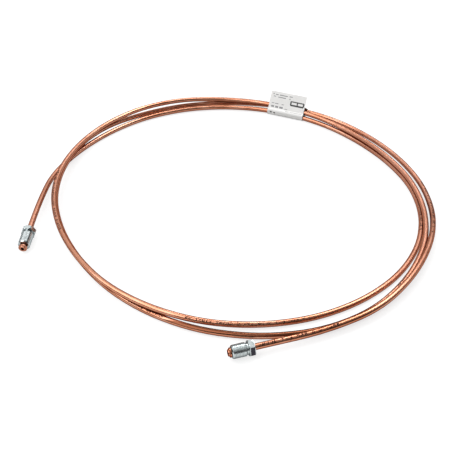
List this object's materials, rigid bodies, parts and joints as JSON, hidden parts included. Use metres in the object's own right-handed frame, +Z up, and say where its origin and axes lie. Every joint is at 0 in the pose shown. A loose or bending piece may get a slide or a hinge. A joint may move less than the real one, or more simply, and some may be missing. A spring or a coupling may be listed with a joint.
{
  "type": "copper tube coil",
  "caption": "Loose coil of thin copper hydraulic tube, flared and fitted with a male tube nut at each end, cut to length to make up a brake or fluid line",
  "frame": {"origin": "middle of the whole coil's box, on the floor it lies on", "axes": "+Z up, the coil lying flat; +X to the right and +Y away from the side with both tube ends nearest; the end of nut b is at -Y and the end of nut a at -X"},
  "size_m": [0.3576, 0.364, 0.0229],
  "materials": {
    "copper": "bright drawn copper-nickel alloy, slightly hazed",
    "zinc": "bright zinc plate over turned steel",
    "label_paper": "white satin self-adhesive paper"
  },
  "bodies": {
    "coil": {"tube": "copper", "label": "label_paper"},
    "nut_a": {"tube_nut_a": "zinc"},
    "nut_b": {"tube_nut_b": "zinc"}
  },
  "joints": [
    {"name": "nut_a_turn", "type": "hinge", "parent": "coil", "child": "nut_a", "pos_m": [-0.17254, -0.05513, 0.00645], "axis": [-0.0052, -1, 0], "continuous": true},
    {"name": "nut_b_turn", "type": "hinge", "parent": "coil", "child": "nut_b", "pos_m": [0.00553, -0.17512, 0.00645], "axis": [-0.9598, -0.2807, 0], "continuous": true}
  ]
}
